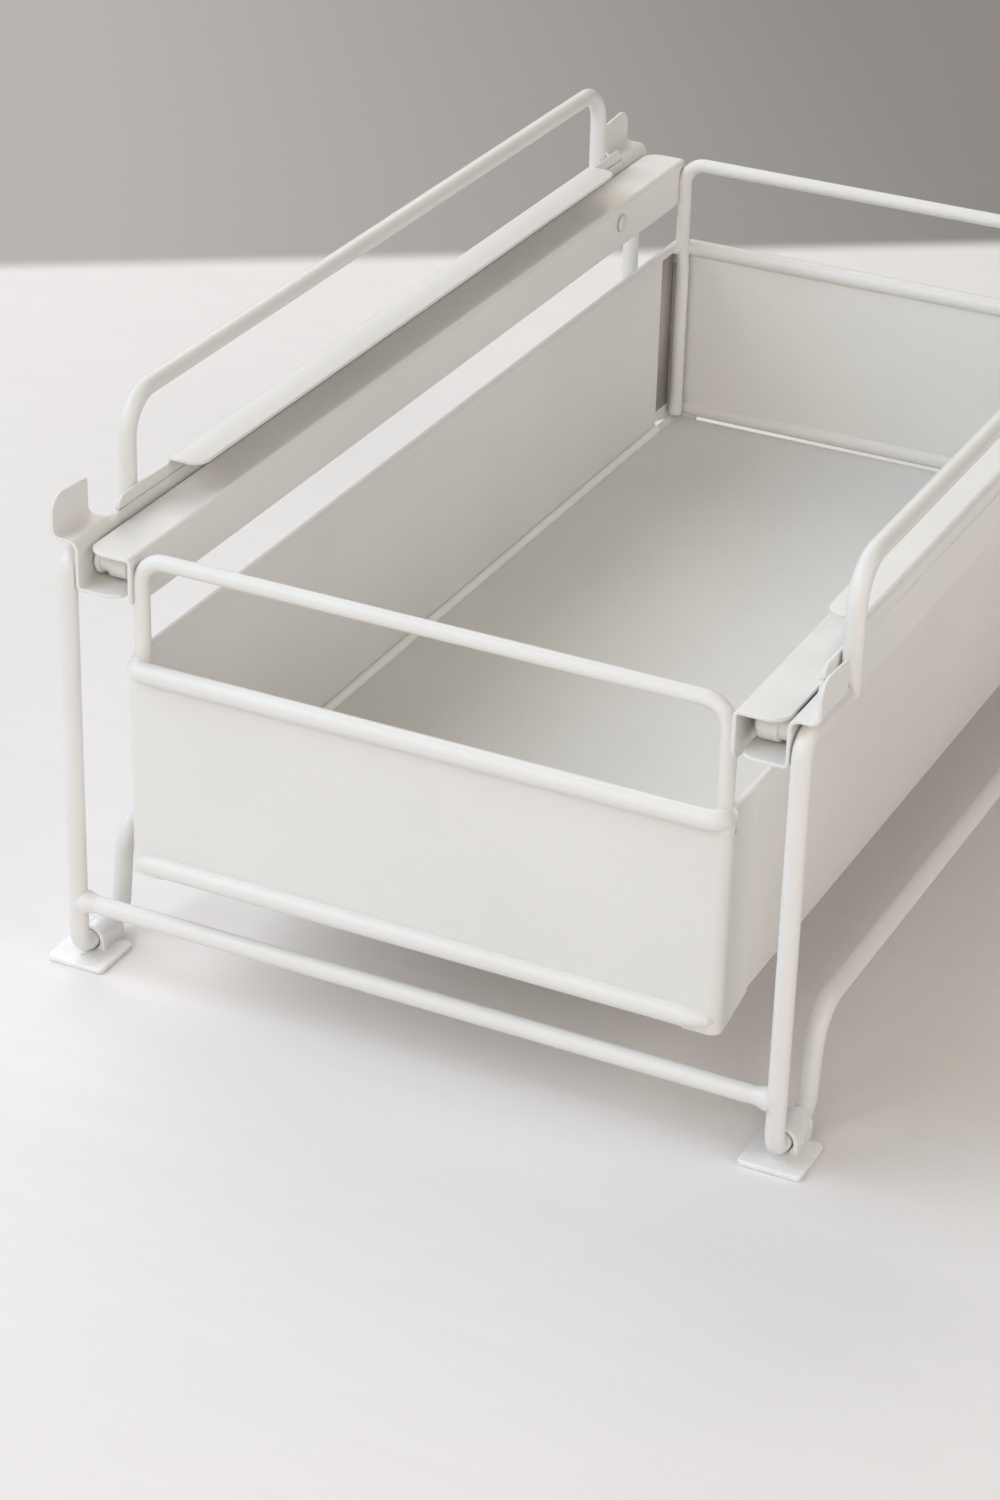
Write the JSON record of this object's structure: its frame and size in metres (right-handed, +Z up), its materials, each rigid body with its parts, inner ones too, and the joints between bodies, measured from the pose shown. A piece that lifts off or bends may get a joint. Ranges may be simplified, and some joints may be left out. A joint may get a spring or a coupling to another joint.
{
  "type": "storage organizer with drawer",
  "caption": "Low wire-framed storage organizer: folded rails on bent wire legs with guard hoops carry a sheet-metal drawer that rolls out to the front.",
  "frame": {"origin": "on the ground, under the middle of the object", "axes": "+Z up, the drawer's front faces -Y and rolls out along -Y, +X to the right seen from the front"},
  "size_m": [0.2132, 0.345, 0.1514],
  "materials": {
    "powder_coat": "warm white satin powder coat",
    "foot_plastic": "translucent white plastic",
    "roller_nylon": "off-white nylon",
    "pin_steel": "zinc-plated steel"
  },
  "bodies": {
    "frame": {"left_rail": "powder_coat", "right_rail": "powder_coat", "left_side_wire": "powder_coat", "right_side_wire": "powder_coat", "left_guard_wire": "powder_coat", "right_guard_wire": "powder_coat", "front_crossbar": "powder_coat", "rear_crossbar": "powder_coat", "front_left_foot": "foot_plastic", "front_right_foot": "foot_plastic", "rear_left_foot": "foot_plastic", "rear_right_foot": "foot_plastic", "left_front_pin": "pin_steel", "right_front_pin": "pin_steel"},
    "drawer": {"drawer_tray": "powder_coat", "front_panel": "powder_coat", "back_panel": "powder_coat", "front_hoop": "powder_coat", "back_hoop": "powder_coat", "front_rim_wire": "powder_coat", "back_rim_wire": "powder_coat", "front_bottom_wire": "powder_coat", "back_bottom_wire": "powder_coat", "left_hanger": "powder_coat", "right_hanger": "powder_coat", "left_rear_pin": "pin_steel", "right_rear_pin": "pin_steel"},
    "front_roller_l": {"left_front_roller": "roller_nylon"},
    "front_roller_r": {"right_front_roller": "roller_nylon"},
    "rear_roller_l": {"left_rear_roller": "roller_nylon"},
    "rear_roller_r": {"right_rear_roller": "roller_nylon"}
  },
  "joints": [
    {"name": "drawer_slide", "type": "slide", "parent": "frame", "child": "drawer", "axis": [0, -1, 0], "range_m": [0, 0.268]},
    {"name": "left_front_roller_spin", "type": "hinge", "parent": "frame", "child": "front_roller_l", "pos_m": [-0.08925, -0.1598, 0.115], "axis": [1, 0, 0], "continuous": true},
    {"name": "right_front_roller_spin", "type": "hinge", "parent": "frame", "child": "front_roller_r", "pos_m": [0.08925, -0.1598, 0.115], "axis": [1, 0, 0], "continuous": true},
    {"name": "left_rear_roller_spin", "type": "hinge", "parent": "drawer", "child": "rear_roller_l", "pos_m": [-0.0859, 0.12, 0.1148], "axis": [1, 0, 0], "continuous": true},
    {"name": "right_rear_roller_spin", "type": "hinge", "parent": "drawer", "child": "rear_roller_r", "pos_m": [0.0859, 0.12, 0.1148], "axis": [1, 0, 0], "continuous": true}
  ],
  "couplings": [
    {"joint": "left_front_roller_spin", "follows": "drawer_slide", "rad_per_m": 238.1},
    {"joint": "right_front_roller_spin", "follows": "drawer_slide", "rad_per_m": 238.1},
    {"joint": "left_rear_roller_spin", "follows": "drawer_slide", "rad_per_m": 238.1},
    {"joint": "right_rear_roller_spin", "follows": "drawer_slide", "rad_per_m": 238.1}
  ]
}
